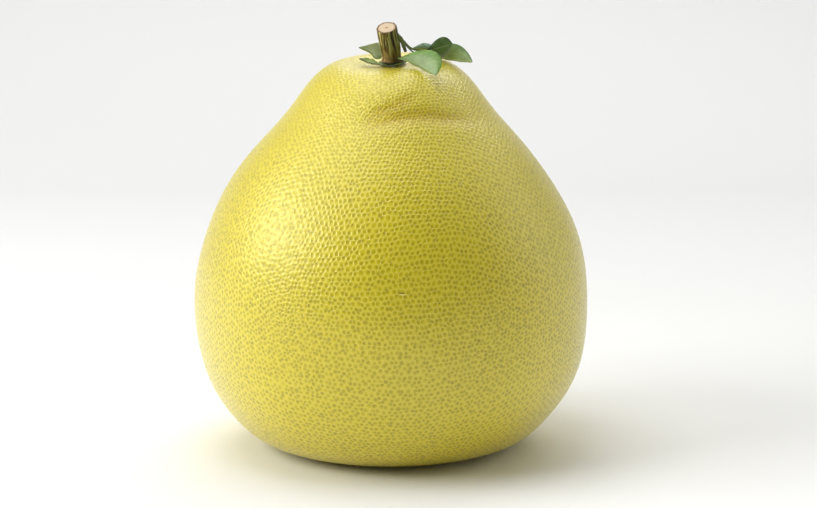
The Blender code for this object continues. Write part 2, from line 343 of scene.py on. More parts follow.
def waxyPeel():
    # citrus rind, grown: waxy skin over oil glands, seen as olive pits in a pale yellow-green net
    made, tree = newMaterial("waxyPomeloRind")
    place = addNode(tree, "ShaderNodeTexCoord")
    offset = addNode(tree, "ShaderNodeAttribute", {"attribute_name": "poreOffset"})
    kind = addNode(tree, "ShaderNodeAttribute", {"attribute_name": "poreKind"})
    cell = addNode(tree, "ShaderNodeAttribute", {"attribute_name": "poreCell"})
    crease = addNode(tree, "ShaderNodeAttribute", {"attribute_name": "creaseShadeShare"})
    # pores aren't quite round: a fine noise, 1.2 mm across, pushes their outline about
    wobble = addNode(tree, "ShaderNodeTexNoise", {
        "Scale": 850.0, "Detail": 1.0,
    }, {"Vector": place.outputs["Object"]})
    away = addNode(tree, "ShaderNodeVectorMath", {"operation": "LENGTH"}, {0: offset.outputs["Vector"]})
    shift = addNode(tree, "ShaderNodeMath", {
        "operation": "MULTIPLY_ADD", 1: 1.1, 2: -0.55,
    }, {0: wobble.outputs["Fac"]})
    reach = addNode(tree, "ShaderNodeMath", {
        "operation": "ADD",
    }, {0: away.outputs["Value"], 1: shift.outputs["Value"]})
    pit = addNode(tree, "ShaderNodeMapRange", {
        "interpolation_type": "SMOOTHSTEP", "From Min": 0.25, "From Max": 1.45, "To Min": 1.0, "To Max": 0.0,
    }, {"Value": reach.outputs["Value"]})
    net = addNode(tree, "ShaderNodeMapRange", {
        "interpolation_type": "SMOOTHSTEP", "From Min": 0.0, "From Max": 0.45, "To Min": 1.0, "To Max": 0.0,
    }, {"Value": cell.outputs["Fac"]})
    strength = addNode(tree, "ShaderNodeMapRange", {
        "To Min": 0.55, "To Max": 1.0,
    }, {"Value": kind.outputs["Fac"]})
    dot = addNode(tree, "ShaderNodeMath", {
        "operation": "MULTIPLY",
    }, {0: pit.outputs["Result"], 1: strength.outputs["Result"]})
    # ripening is uneven: yellower and greener patches about 35 mm across
    patches = addNode(tree, "ShaderNodeTexNoise", {
        "Scale": 28.0, "Detail": 3.0, "Roughness": 0.55,
    }, {"Vector": place.outputs["Object"]})
    patchShare = addNode(tree, "ShaderNodeMapRange", {
        "From Min": 0.35, "From Max": 0.65,
    }, {"Value": patches.outputs["Fac"]})
    rind = addNode(tree, "ShaderNodeMix", {
        "data_type": "RGBA", 6: hexToLinear("D1C000"), 7: hexToLinear("D9C608"),
    }, {0: patchShare.outputs["Result"]})
    lined = addNode(tree, "ShaderNodeMix", {
        "data_type": "RGBA", 7: hexToLinear("E3D348"),
    }, {0: net.outputs["Result"], 6: rind.outputs[2]})
    pitted = addNode(tree, "ShaderNodeMix", {
        "data_type": "RGBA", 7: hexToLinear("AD9E00"),
    }, {0: dot.outputs["Value"], 6: lined.outputs[2]})
    # painted shade: the rind colour is darkened along the creases under the crown
    creasePaintedShade = addNode(tree, "ShaderNodeMix", {
        "data_type": "RGBA", "blend_type": "MULTIPLY", 7: hexToLinear("EEE2A8"),
    }, {0: crease.outputs["Fac"], 6: pitted.outputs[2]})
    # a scratch on the front, painted flat: brown along its upper lip as painted shade, pale along its lower
    # one as painted highlight
    nickX, nickY, nickZ = fruitSet["nickAt"]
    nickPaintedColour = creasePaintedShade
    for rise, tone in fruitSet["nickShadeAndHighlight"]:
        middle = (nickX * mm, nickY * mm, nickZ * mm + ground + rise * mm)
        around = addNode(tree, "ShaderNodeVectorMath", {
            "operation": "SUBTRACT", 1: middle,
        }, {0: place.outputs["Object"]})
        wide = addNode(tree, "ShaderNodeVectorMath", {
            "operation": "MULTIPLY", 1: [stretch / mm for stretch in fruitSet["nickStretch"]],
        }, {0: around.outputs["Vector"]})
        far = addNode(tree, "ShaderNodeVectorMath", {"operation": "LENGTH"}, {0: wide.outputs["Vector"]})
        share = addNode(tree, "ShaderNodeMapRange", {
            "interpolation_type": "SMOOTHSTEP", "From Min": 0.5, "From Max": 1.1,
            "To Min": 0.85, "To Max": 0.0,
        }, {"Value": far.outputs["Value"]})
        nickPaintedColour = addNode(tree, "ShaderNodeMix", {
            "data_type": "RGBA", 7: hexToLinear(tone),
        }, {0: share.outputs["Result"], 6: nickPaintedColour.outputs[2]})
    height = addNode(tree, "ShaderNodeMath", {
        "operation": "MULTIPLY_ADD", 1: -1.0,
    }, {0: dot.outputs["Value"], 2: net.outputs["Result"]})
    bump = addNode(tree, "ShaderNodeBump", {
        "Strength": 1.0, "Distance": 0.00008,
    }, {"Height": height.outputs["Value"]})
    shader = addNode(tree, "ShaderNodeBsdfPrincipled", {
        "Roughness": 0.38, "IOR": 1.5, "Specular IOR Level": 0.7, "Specular Tint": hexToLinear("FFF6A0"),
        "Coat Weight": 1.0, "Coat Roughness": 0.3,
    }, {
        "Base Color": nickPaintedColour.outputs[2],
        "Normal": bump.outputs["Normal"], "Coat Normal": bump.outputs["Normal"],
    })
    addNode(tree, "ShaderNodeOutputMaterial", {}, {"Surface": shader.outputs["BSDF"]})
    return made


skin = makeFruit(waxyPeel())
settle(skin, "peel", "fruit")
print("fruit done:", len(skin.data.polygons), "triangles")


def skinHeight(x, y):
    # height of the crown's skin over a point near the stem
    outline = fruitProfile(fruitSet["crownSteps"])
    crown = outline[outline[:, 1] > fruitSet["crownHeights"][0]]
    z = np.interp(np.hypot(x, y / fruitSet["depthShare"]), crown[:, 0], crown[:, 1])
    return z + crownLean(y, z)


# ---- stem
stemSet = {  # millimetres from the middle of the flat spot; shares run from the foot, 0, to the cut, 1
    "base": (0.6, -1.3, 156.6),
    "top": (-1.7, -7.3, 170.9),
    "cutNormal": (-0.14, -0.43, 0.89),
    "radiusBase": 4.0,
    "radiusTop": 4.1,
    "footFlare": 0.5,
    "flareEnds": 0.12,  # share
    "waistDepth": 0.25,
    "waistAt": 0.2,  # share
    "waistReach": 0.12,  # share
    "fissureDepth": 0.15,
    "fissureStretch": 0.16,  # one over how much longer than wide a fissure is
    "ridges": (1.7, 0.6),  # size, share of the fissure depth
    "cracks": (1.1, 1.1),
    "crackFrom": 0.25,
    "cutDome": (0.12, 0.3),  # rise halfway in, and its loss towards the rim and the middle
    "around": 96,
    "rows": 70,
    "cutRings": (0.97, 0.93, 0.88, 0.8, 0.7, 0.6, 0.5, 0.4, 0.3, 0.2, 0.12, 0.05),  # shares of the radius
}


def makeStem(bark, wood):
    # rings round a straight core, turned from level to the slant of the cut, then inwards over the cut
    base, top = np.array(stemSet["base"]), np.array(stemSet["top"])
    share = np.concatenate([np.linspace(0, 1, stemSet["rows"]), np.ones(len(stemSet["cutRings"]))])
    inward = np.concatenate([np.ones(stemSet["rows"]), stemSet["cutRings"]])
    turn = np.linspace(0, 2 * math.pi, stemSet["around"], endpoint=False)
    normal = unit(np.outer(1 - share, (0, 0, 1)) + np.outer(share, unit(stemSet["cutNormal"])))
    side = unit(np.cross((0, 1, 0), normal))
    other = np.cross(normal, side)
    length = share * np.linalg.norm(top - base)
    grain = np.stack([
        np.cos(turn)[None] * 4 * np.ones_like(share)[:, None],
        np.sin(turn)[None] * 4 * np.ones_like(share)[:, None],
        length[:, None] * np.ones_like(turn)[None],
    ], -1)
    streak = (grain * (1, 1, stemSet["fissureStretch"])).reshape(-1, 3)
    (ridgeSize, ridgeShare), (crackSize, crackShare) = stemSet["ridges"], stemSet["cracks"]
    ridges = ripple(streak, ridgeSize, 5).reshape(len(share), -1)
    cracks = np.clip(ripple(streak, crackSize, 6).reshape(len(share), -1) - stemSet["crackFrom"], 0, 1)
    onSide = inward == 1
    onBark = smoothStep(share, 0.0, 0.05)[:, None] * onSide[:, None]
    radius = stemSet["radiusBase"] + (stemSet["radiusTop"] - stemSet["radiusBase"]) * share
    waist = stemSet["waistDepth"] * bell(share, stemSet["waistAt"], stemSet["waistReach"])
    radius = radius + stemSet["footFlare"] * (1 - smoothStep(share, 0, stemSet["flareEnds"])) - waist
    wide = radius[:, None] + stemSet["fissureDepth"] * (ridgeShare * ridges - crackShare * cracks) * onBark
    wide = np.where(onSide[:, None], wide, wide[stemSet["rows"] - 1][None] * inward[:, None])
    dome, domeLoss = stemSet["cutDome"]
    rise = np.where(onSide, 0.0, dome - domeLoss * (inward - 0.5) ** 2)
    rings = base + (top - base) * share[:, None]
    points = rings[:, None] + wide[..., None] * (
        np.cos(turn)[None, :, None] * side[:, None] + np.sin(turn)[None, :, None] * other[:, None]
    ) + (normal * rise[:, None])[:, None]
    rows, cols = points.shape[:2]
    flat = np.vstack([points.reshape(-1, 3), base, top + normal[-1] * 0.05])
    quads = gridFaces(rows, cols, closed=True)
    foot = fanFaces(np.arange(cols), rows * cols)[:, ::-1]
    tip = fanFaces(np.arange(cols) + (rows - 1) * cols, rows * cols + 1)
    faces = quads.tolist() + foot.tolist() + tip.tolist()
    ringOnCut = np.repeat(np.arange(rows - 1) >= stemSet["rows"], cols)
    onCut = np.concatenate([ringOnCut, np.zeros(cols), np.ones(cols)])
    piece = meshPiece("cutStem", flat, faces, [bark, wood], onCut)
    drawnIn = grain.reshape(-1, 3) * np.repeat(inward, cols)[:, None] ** [1, 1, 0]
    grainFlat = np.vstack([drawnIn, [0, 0, 0], [0, 0, length[-1]]])
    storeAttribute(piece, "grain", "FLOAT_VECTOR", "POINT", grainFlat)
    return piece


def youngBark():
    # young citrus bark, grown: green skin split lengthwise by brown cork, dull with a waxy trace
    made, tree = newMaterial("youngCitrusBark")
    grain = addNode(tree, "ShaderNodeAttribute", {"attribute_name": "grain"})
    long = addNode(tree, "ShaderNodeMapping", {
        "Scale": (1.0, 1.0, 0.10),
    }, {"Vector": grain.outputs["Vector"]})
    short = addNode(tree, "ShaderNodeMapping", {
        "Scale": (1.0, 1.0, 0.45),
    }, {"Vector": grain.outputs["Vector"]})
    streaks = addNode(tree, "ShaderNodeTexNoise", {
        "Scale": 0.85, "Detail": 4.0, "Roughness": 0.6,
    }, {"Vector": long.outputs["Vector"]})
    flecks = addNode(tree, "ShaderNodeTexNoise", {
        "Scale": 2.2, "Detail": 3.0, "Roughness": 0.65,
    }, {"Vector": short.outputs["Vector"]})
    tone = addNode(tree, "ShaderNodeValToRGB", {}, {"Fac": streaks.outputs["Fac"]})
    ramp = tone.color_ramp
    ramp.elements[0].position, ramp.elements[0].color = 0.34, hexToLinear("332C12")
    ramp.elements[1].position, ramp.elements[1].color = 0.58, hexToLinear("F0ECAA")
    for position, code in ((0.42, "6E5A2A"), (0.48, "8E8242"), (0.53, "C2BC74")):
        ramp.elements.new(position).color = hexToLinear(code)
    axes = addNode(tree, "ShaderNodeSeparateXYZ", {}, {"Vector": grain.outputs["Vector"]})
    # the foot is corkier and browner; the right side, turned away from the key light, is darkened as painted
    # shade
    footShare = addNode(tree, "ShaderNodeMapRange", {
        "From Min": 7.5, "From Max": 1.5,
    }, {"Value": axes.outputs["Z"]})
    fleckShare = addNode(tree, "ShaderNodeMapRange", {
        "From Min": 0.42, "From Max": 0.62,
    }, {"Value": flecks.outputs["Fac"]})
    cork = addNode(tree, "ShaderNodeMix", {
        "data_type": "RGBA", 6: hexToLinear("6E4A2A"), 7: hexToLinear("B08F62"),
    }, {0: fleckShare.outputs["Result"]})
    corkShare = addNode(tree, "ShaderNodeMath", {
        "operation": "MULTIPLY", 1: 0.8,
    }, {0: footShare.outputs["Result"]})
    mixed = addNode(tree, "ShaderNodeMix", {
        "data_type": "RGBA",
    }, {0: corkShare.outputs["Value"], 6: tone.outputs["Color"], 7: cork.outputs[2]})
    # painted shade: the bark colour is multiplied darker towards +x, the side away from the key light
    paintedShadeShare = addNode(tree, "ShaderNodeMapRange", {
        "From Min": -2.8, "From Max": 0.6, "To Max": 0.9,
    }, {"Value": axes.outputs["X"]})
    paintedShadeSide = addNode(tree, "ShaderNodeMix", {
        "data_type": "RGBA", "blend_type": "MULTIPLY", 7: hexToLinear("7A8050"),
    }, {0: paintedShadeShare.outputs["Result"], 6: mixed.outputs[2]})
    bump = addNode(tree, "ShaderNodeBump", {
        "Strength": 1.0, "Distance": 0.00025,
    }, {"Height": streaks.outputs["Fac"]})
    shader = addNode(tree, "ShaderNodeBsdfPrincipled", {
        "Roughness": 0.68, "IOR": 1.45, "Specular IOR Level": 0.35,
    }, {"Base Color": paintedShadeSide.outputs[2], "Normal": bump.outputs["Normal"]})
    addNode(tree, "ShaderNodeOutputMaterial", {}, {"Surface": shader.outputs["BSDF"]})
    return made


def cutWood():
    # fresh citrus wood, cut with shears: pale, slightly pink, faint rings, small brown pith, dark bark edge
    made, tree = newMaterial("shearedCitrusWood")
    grain = addNode(tree, "ShaderNodeAttribute", {"attribute_name": "grain"})
    flat = addNode(tree, "ShaderNodeMapping", {
        "Scale": (1.0, 1.0, 0.0),
    }, {"Vector": grain.outputs["Vector"]})
    rough = addNode(tree, "ShaderNodeTexNoise", {
        "Scale": 1.6, "Detail": 4.0,
    }, {"Vector": flat.outputs["Vector"]})
    radius = addNode(tree, "ShaderNodeVectorMath", {"operation": "LENGTH"}, {0: flat.outputs["Vector"]})
    waver = addNode(tree, "ShaderNodeMath", {
        "operation": "MULTIPLY_ADD", 1: 0.5,
    }, {0: rough.outputs["Fac"], 2: radius.outputs["Value"]})
    rings = addNode(tree, "ShaderNodeMath", {"operation": "PINGPONG", 1: 0.45}, {0: waver.outputs["Value"]})
    ringShare = addNode(tree, "ShaderNodeMapRange", {
        "From Min": 0.0, "From Max": 0.45, "To Min": 0.0, "To Max": 0.6,
    }, {"Value": rings.outputs["Value"]})
    wood = addNode(tree, "ShaderNodeMix", {
        "data_type": "RGBA", 6: hexToLinear("DECAAA"), 7: hexToLinear("CCB090"),
    }, {0: ringShare.outputs["Result"]})
    across = addNode(tree, "ShaderNodeMapRange", {
        "From Min": 3.2, "From Max": 3.9,
    }, {"Value": waver.outputs["Value"]})
    edged = addNode(tree, "ShaderNodeMix", {
        "data_type": "RGBA", 7: hexToLinear("6B4A2C"),
    }, {0: across.outputs["Result"], 6: wood.outputs[2]})
    pithShare = addNode(tree, "ShaderNodeMapRange", {
        "From Min": 0.75, "From Max": 0.35, "To Max": 0.85,
    }, {"Value": radius.outputs["Value"]})
    pith = addNode(tree, "ShaderNodeMix", {
        "data_type": "RGBA", 7: hexToLinear("A87452"),
    }, {0: pithShare.outputs["Result"], 6: edged.outputs[2]})
    bump = addNode(tree, "ShaderNodeBump", {
        "Strength": 0.6, "Distance": 0.00015,
    }, {"Height": rough.outputs["Fac"]})
    shader = addNode(tree, "ShaderNodeBsdfPrincipled", {
        "Roughness": 0.75, "IOR": 1.45, "Specular IOR Level": 0.3,
    }, {"Base Color": pith.outputs[2], "Normal": bump.outputs["Normal"]})
    addNode(tree, "ShaderNodeOutputMaterial", {}, {"Surface": shader.outputs["BSDF"]})
    return made


barkMaterial = youngBark()
stem = makeStem(barkMaterial, cutWood())
settle(stem, "bark", "stem")
print("stem done")

# ---- button under the stem
buttonSet = {  # millimetres
    "radius": 4.4,
    "thick": 0.55,
    "rimThinning": 0.65,  # share of the thickness lost at the rim
    "gap": 0.05,
    # each lobe: its turn in degrees, its reach past the rim, the lift of its tip
    "lobes": [(-56, 3.2, 1.4), (12, 2.4, 0.7), (84, 2.6, 0.4), (145, 1.8, 0.1), (192, 1.6, 0.1)],
    "lobeHalf": 34,  # degrees
    "lobePoint": 1.6,
    "reachTrim": 0.4,  # taken off every lobe's reach
    "rimWaver": (0.25, 0.7),  # height, size
    "wrinkles": (0.07, 1.3),
    "curlFrom": 3.8,  # distance from the middle where the lobes begin to turn up
    "curlEase": 3.7,  # the rim's distance is counted from here, so the curl stays just short of full
    "around": 144,
    "rings": 22,
}


def makeButton(material):
    # a disc that follows the crown, thinner at its rim, the rim drawn out into turned-up lobes
    turn = np.linspace(0, 2 * math.pi, buttonSet["around"], endpoint=False)
    circle = np.column_stack([np.cos(turn), np.sin(turn), 0 * turn])
    (waver, waverSize), (wrinkleRise, wrinkleSize) = buttonSet["rimWaver"], buttonSet["wrinkles"]
    edge = buttonSet["radius"] + waver * ripple(circle, waverSize, 9)
    tipLift = np.zeros(turn.shape)
    for degrees, reach, lift in buttonSet["lobes"]:
        away = np.abs((np.degrees(turn) - degrees + 180) % 360 - 180) / buttonSet["lobeHalf"]
        lobe = np.cos(np.minimum(away, 1) * math.pi / 2) ** buttonSet["lobePoint"]
        edge = edge + (reach - buttonSet["reachTrim"]) * lobe
        tipLift = tipLift + lift * lobe
    share = np.linspace(0.15, 1, buttonSet["rings"])[:, None]
    x, y = share * edge * np.cos(turn), share * edge * np.sin(turn)
    curl = np.clip((share * edge - buttonSet["curlFrom"]) / (edge - buttonSet["curlEase"]), 0, 1)
    under = skinHeight(x, y) + buttonSet["gap"] + tipLift * curl ** 1.5
    thick = buttonSet["thick"] * (1 - buttonSet["rimThinning"] * smoothStep(share, 0.6, 1.0))
    flatRings = np.stack([x, y, 0 * x], -1).reshape(-1, 3)
    wrinkle = wrinkleRise * ripple(flatRings, wrinkleSize, 11).reshape(x.shape)
    over = under + thick + wrinkle * (1 - smoothStep(share, 0.9, 1.0))
    lowPoints, highPoints = np.stack([x, y, under], -1), np.stack([x, y, over], -1)
    points = np.concatenate([lowPoints, highPoints[::-1]])
    rows, cols = points.shape[:2]
    centreLow = [[0, 0, under[0].mean()]]
    centreHigh = [[0, 0, over[0].mean()]]
    flat = np.vstack([points.reshape(-1, 3), centreLow, centreHigh])
    faces = gridFaces(rows, cols, closed=True).tolist()
    faces += fanFaces(np.arange(cols), rows * cols)[:, ::-1].tolist()
    faces += fanFaces(np.arange(cols) + (rows - 1) * cols, rows * cols + 1).tolist()
    return meshPiece("calyxButton", flat, faces, [material])


def dryCalyx():
    # calyx, grown and half dried: leathery grey-green, mottled dark and pale, dull
    made, tree = newMaterial("dryCalyx")
    place = addNode(tree, "ShaderNodeTexCoord")
    mottle = addNode(tree, "ShaderNodeTexNoise", {
        "Scale": 420.0, "Detail": 4.0, "Roughness": 0.6,
    }, {"Vector": place.outputs["Object"]})
    tone = addNode(tree, "ShaderNodeValToRGB", {}, {"Fac": mottle.outputs["Fac"]})
    ramp = tone.color_ramp
    ramp.elements[0].position, ramp.elements[0].color = 0.35, hexToLinear("39401F")
    ramp.elements[1].position, ramp.elements[1].color = 0.66, hexToLinear("9FAE7C")
    ramp.elements.new(0.5).color = hexToLinear("66764A")
    bump = addNode(tree, "ShaderNodeBump", {
        "Strength": 0.7, "Distance": 0.0002,
    }, {"Height": mottle.outputs["Fac"]})
    shader = addNode(tree, "ShaderNodeBsdfPrincipled", {
        "Roughness": 0.62, "IOR": 1.45, "Specular IOR Level": 0.4,
    }, {"Base Color": tone.outputs["Color"], "Normal": bump.outputs["Normal"]})
    addNode(tree, "ShaderNodeOutputMaterial", {}, {"Surface": shader.outputs["BSDF"]})
    return made


button = makeButton(dryCalyx())
settle(button, "button", "button")
print("button done")

# ---- twig and leaf stalks
twigSet = {  # millimetres; name: node, points along the middle, radius at the start and at the end
    "sideTwig": (
        "side_twig",
        [(1.8, -5.2, 167.6), (4.0, -5.2, 165.9), (5.0, -5.6, 163.6), (5.9, -6.5, 161.1)],
        1.35, 0.55,
    ),
    "stalkFront": (
        "stalk_front",
        [(3.4, -4.6, 166.2), (5.6, -4.6, 164.2), (7.4, -5.4, 162.2), (9.6, -7.0, 160.6)],
        0.5, 0.28,
    ),
    "stalkBack": (
        "stalk_back",
        [(2.6, -3.6, 166.6), (5.0, -2.2, 164.8), (7.4, -1.0, 162.2), (10.2, 0.0, 161.0), (14.4, 0.5, 160.5)],
        0.62, 0.34,
    ),
}


twigMake = {"rings": 60, "around": 20, "taperPower": 0.7, "endPower": 30, "swelling": (0.08, 1.6), "grain": 8}


def makeTwig(name, points, radiusStart, radiusEnd, material):
    # a round tube along a smooth curve, tapering, with small swellings, its ends rounded over
    rows, cols = twigMake["rings"], twigMake["around"]
    swelling, swellingSize = twigMake["swelling"]
    path = smoothThrough(points, rows)
    along = unit(np.gradient(path, axis=0))
    side = unit(np.cross(along, (0, 1, 0)))
    other = np.cross(along, side)
    turn = np.linspace(0, 2 * math.pi, cols, endpoint=False)
    share = np.linspace(0, 1, rows)
    radius = radiusStart + (radiusEnd - radiusStart) * share ** twigMake["taperPower"]
    radius = radius * np.sqrt(np.clip(1 - (2 * share - 1) ** twigMake["endPower"], 0.02, 1))
    radius = radius * (1 + swelling * ripple(path, swellingSize, 31))
    ring = np.cos(turn)[None, :, None] * side[:, None] + np.sin(turn)[None, :, None] * other[:, None]
    points = path[:, None] + radius[:, None, None] * ring
    flat = np.vstack([points.reshape(-1, 3), path[0], path[-1]])
    faces = gridFaces(rows, cols, closed=True).tolist()
    faces += fanFaces(np.arange(cols), rows * cols)[:, ::-1].tolist()
    faces += fanFaces(np.arange(cols) + (rows - 1) * cols, rows * cols + 1).tolist()
    piece = meshPiece(name, flat, faces, [material])
    grain = np.stack([
        np.cos(turn)[None] * radius[:, None], np.sin(turn)[None] * radius[:, None],
        (share * twigMake["grain"])[:, None] * np.ones(cols)[None],
    ], -1)
    grainFlat = np.vstack([grain.reshape(-1, 3), [0, 0, 0], [0, 0, twigMake["grain"]]])
    storeAttribute(piece, "grain", "FLOAT_VECTOR", "POINT", grainFlat)
    return piece


def greenTwig():
    # green citrus shoot, grown: smooth waxy skin with fine lengthwise ridges, darker towards its far end
    made, tree = newMaterial("greenCitrusShoot")
    grain = addNode(tree, "ShaderNodeAttribute", {"attribute_name": "grain"})
    long = addNode(tree, "ShaderNodeMapping", {
        "Scale": (1.0, 1.0, 0.2),
    }, {"Vector": grain.outputs["Vector"]})
    streaks = addNode(tree, "ShaderNodeTexNoise", {
        "Scale": 2.6, "Detail": 3.0,
    }, {"Vector": long.outputs["Vector"]})
    tone = addNode(tree, "ShaderNodeMix", {
        "data_type": "RGBA", 6: hexToLinear("3A4A1E"), 7: hexToLinear("7D8A4C"),
    }, {0: streaks.outputs["Fac"]})
    axes = addNode(tree, "ShaderNodeSeparateXYZ", {}, {"Vector": grain.outputs["Vector"]})
    tipShare = addNode(tree, "ShaderNodeMapRange", {
        "From Min": 5.0, "From Max": 7.6, "To Max": 0.8,
    }, {"Value": axes.outputs["Z"]})
    endDarkened = addNode(tree, "ShaderNodeMix", {
        "data_type": "RGBA", 7: hexToLinear("2C2A14"),
    }, {0: tipShare.outputs["Result"], 6: tone.outputs[2]})
    bump = addNode(tree, "ShaderNodeBump", {
        "Strength": 0.8, "Distance": 0.0001,
    }, {"Height": streaks.outputs["Fac"]})
    shader = addNode(tree, "ShaderNodeBsdfPrincipled", {
        "Roughness": 0.5, "IOR": 1.45,
    }, {"Base Color": endDarkened.outputs[2], "Normal": bump.outputs["Normal"]})
    addNode(tree, "ShaderNodeOutputMaterial", {}, {"Surface": shader.outputs["BSDF"]})
    return made


shoot = greenTwig()
for twigName, (twigNode, twigPoints, thickStart, thickEnd) in twigSet.items():
    settle(makeTwig(twigName, twigPoints, thickStart, thickEnd, shoot), "twig", twigNode)
print("twigs done")

# ---- leaves
# each leaf's colours are its own greens with painted light and shade in them: paler where the blade catches
# light or mirrors the sky, darker where it lies in shade
leafSet = {  # midrib, then each half: its way out at the base and tip, width, where widest; then colours
    "leafFrontRight": {
        "node": "leaf_front_right",
        "midrib": [(2.9, -6.0, 158.5), (8.0, -11.5, 158.7), (13.6, -20.0, 157.3), (17.7, -24.2, 154.5)],
        "halves": [
            ((0.10, 0.25, 0.96), (0.85, 0.15, 0.50), 7.4, 0.66),
            ((-0.25, 0.90, -0.35), (-0.25, 0.90, -0.35), 3.0, 0.60),
        ],
        "tintsAndLight": ["84A068", "889C6C", "96AE78", "5C8E0C", "748C62"],
    },
    "leafBackLeft": {
        "node": "leaf_back_left",
        "midrib": [(-3.7, 3.6, 157.8), (-6.2, 3.0, 158.9), (-9.2, 1.2, 159.7), (-12.8, -1.6, 162.2)],
        "halves": [
            ((0.10, 0.30, 0.95), (0.10, 0.30, 0.95), 4.8, 0.22),
            ((0.00, -0.20, -0.95), (0.10, -0.55, 0.80), 1.8, 0.42),
        ],
        "tintsAndLight": ["A8C288", "CCDCB2", "A8BE86", "D0DFBC", "7C945C"],
    },
    "leafLowLeft": {
        "node": "leaf_low_left",
        "midrib": [(-4.8, -5.4, 156.0), (-7.2, -5.8, 156.6), (-9.8, -5.8, 157.2), (-12.6, -5.4, 158.3)],
        "halves": [
            ((0.10, 0.92, 0.30), (0.10, 0.92, 0.30), 3.0, 0.45),
            ((0.10, -0.98, -0.05), (0.10, -0.98, -0.05), 1.8, 0.50),
        ],
        "tintsAndLight": ["6C8440", "93A552", "3E4A20", "9AAA58", "4C5A26"],
    },
    "leafBackRight": {
        "node": "leaf_back_right",
        "midrib": [(8.8, 5.2, 160.9), (11.0, 5.6, 161.0), (14.0, 6.0, 161.0), (17.5, 6.0, 160.6)],
        "halves": [
            ((0.05, 0.45, 0.88), (0.05, 0.45, 0.88), 2.0, 0.60),
            ((0.00, 0.90, -0.40), (0.00, 0.90, -0.40), 2.0, 0.50),
        ],
        "tintsAndLight": ["7E9A78", "93AC90", "88A284", "9DB59C", "2E4220"],
    },
    "leafUpperRight": {
        "node": "leaf_upper_right",
        "midrib": [(13.9, 0.6, 160.4), (17.0, 0.2, 161.4), (20.5, 0.4, 162.4), (24.4, 1.0, 163.2)],
        "halves": [
            ((-0.15, 0.25, 0.95), (0.10, 0.25, 0.95), 3.7, 0.62),
            ((0.20, 0.10, -0.97), (0.20, 0.10, -0.97), 4.6, 0.50),
        ],
        "tintsAndLight": ["2A441A", "54702E", "5F7C3C", "38562A", "9CA680"],
    },
    "leafFarRight": {
        "node": "leaf_far_right",
        "midrib": [(14.6, 4.0, 159.2), (20.0, 3.6, 160.4), (26.5, 2.4, 159.9), (32.4, 0.4, 156.1)],
        "halves": [
            ((0.20, 0.30, 0.92), (0.45, 0.20, 0.85), 3.8, 0.55),
            ((-0.10, 0.35, -0.92), (-0.10, 0.35, -0.92), 3.2, 0.52),
        ],
        "tintsAndLight": ["8EAA64", "96B062", "B4CC98", "5C8044", "C2D2B0"],
    },
}
bladeSet = {  # millimetres, or shares of a half blade's width or length
    "thickness": 0.35,
    "rows": 56,
    "half": 14,
    "fullness": 0.85,
    "midribHalf": 0.22,
    "belly": 0.10,
    "waveHeight": 0.16,
    "waveFrom": 0.4,
    "wavePace": 21,
    "marginFrom": 0.35,
    "marginShare": 0.8,
}


def halfWidth(along, width, widest):
    # pointed at both ends: the width times the sine of half a turn, its top moved to the widest
    # place, and beside it half the midrib, which is half as wide at the tip
    power = math.log(0.5) / math.log(widest)
    midrib = bladeSet["midribHalf"] * (1 - 0.5 * along)
    return width * np.sin(math.pi * along ** power) ** bladeSet["fullness"] + midrib


def leafTintsAndLight(codes, along, across):
    # base, middle and tip colours blended along the blade, then each half's own towards its margin; they hold
    # painted light and shade as well as the leaf's own greens
    base, middle, tip, upperEdge, lowerEdge = [np.array(hexToLinear(code)) for code in codes]
    toMiddle, toTip = smoothStep(along, 0.0, 0.5)[..., None], smoothStep(along, 0.5, 1.0)[..., None]
    colour = base + (middle - base) * toMiddle + (tip - middle) * toTip
    start, most = bladeSet["marginFrom"], bladeSet["marginShare"]
    upper, lower = smoothStep(across, start, 1.0)[..., None], smoothStep(-across, start, 1.0)[..., None]
    return colour + (upperEdge - colour) * upper * most + (lowerEdge - colour) * lower * most


def makeLeaf(name, leaf, seed, material):
    # two half blades that fan out from a curved midrib, each a little bellied, the margins waving
    rows, half = bladeSet["rows"], bladeSet["half"]
    along = np.linspace(0, 1, rows)
    spine = bezier(leaf["midrib"], rows)
    heading = unit(np.gradient(spine, axis=0))
    out = np.linspace(0, 1, half)
    sheets = []
    for sign, (atBase, atTip, width, widest) in zip((1, -1), leaf["halves"]):
        away = unit(np.outer(1 - along, atBase) + np.outer(along, atTip))
        wide = halfWidth(along, width, widest)
        face = unit(np.cross(heading, away)) * sign
        belly = bladeSet["belly"] * wide[:, None] * np.sin(math.pi * out)[None]
        waving = np.sin(along[:, None] * bladeSet["wavePace"] + seed + sign)
        wave = bladeSet["waveHeight"] * smoothStep(out, bladeSet["waveFrom"], 1.0)[None] * waving
        wave = wave * np.sin(math.pi * along)[:, None]
        flatHalf = spine[:, None] + away[:, None] * (wide[:, None] * out)[..., None]
        sheets.append(flatHalf + face[:, None] * (belly + wave)[..., None])
    points = np.concatenate([sheets[1][:, :0:-1], sheets[0]], axis=1)
    across = np.broadcast_to(np.concatenate([-out[:0:-1], out])[None], points.shape[:2])
    alongAll = np.broadcast_to(along[:, None], points.shape[:2])
    piece = meshPiece(name, points.reshape(-1, 3), gridFaces(rows, 2 * half - 1).tolist(), [material])
    blade = np.stack([alongAll, across, 0 * across], -1).reshape(-1, 3)
    leafTintAndLight = leafTintsAndLight(leaf["tintsAndLight"], alongAll, across).reshape(-1, 4)
    storeAttribute(piece, "blade", "FLOAT_VECTOR", "POINT", blade)
    storeAttribute(piece, "leafTintAndLight", "FLOAT_COLOR", "POINT", leafTintAndLight)
    solid = piece.modifiers.new("thickness", "SOLIDIFY")
    solid.thickness = bladeSet["thickness"] * mm
    solid.offset = 0.0
    return piece


